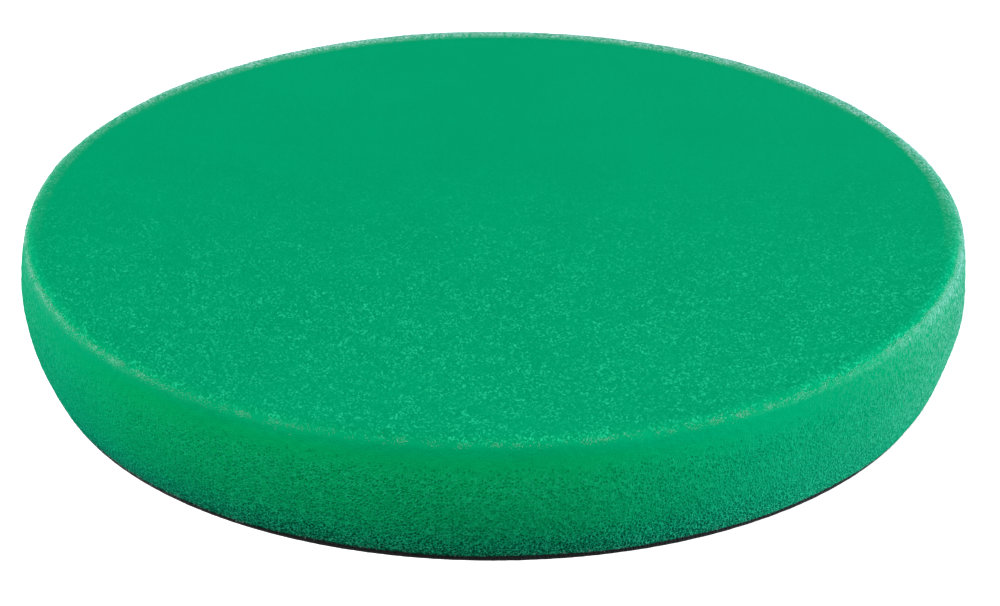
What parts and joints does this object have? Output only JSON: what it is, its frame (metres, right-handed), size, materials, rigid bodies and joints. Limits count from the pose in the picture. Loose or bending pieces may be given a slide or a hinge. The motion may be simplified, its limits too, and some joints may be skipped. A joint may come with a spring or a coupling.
{
  "type": "foam polishing pad",
  "caption": "Round open-cell foam polishing pad with a barrel side, a flat working face and a thin hook-and-loop backing.",
  "frame": {"origin": "centre of the round loop face, which the pad lies on", "axes": "+Z along the pad's axis of rotation, from the loop face towards the working face"},
  "size_m": [0.2, 0.2, 0.0305],
  "materials": {
    "foam": "matte open-cell polyurethane foam",
    "adhesive": "hot-melt film, smoked, slightly glossy",
    "backing_fabric": "matte warp-knitted polyamide",
    "loop_pile": "brushed polyamide loops"
  },
  "bodies": {
    "root": {"foam_disc": "foam", "adhesive_film": "adhesive", "backing_fabric": "backing_fabric", "loop_pile": "loop_pile"}
  },
  "joints": []
}
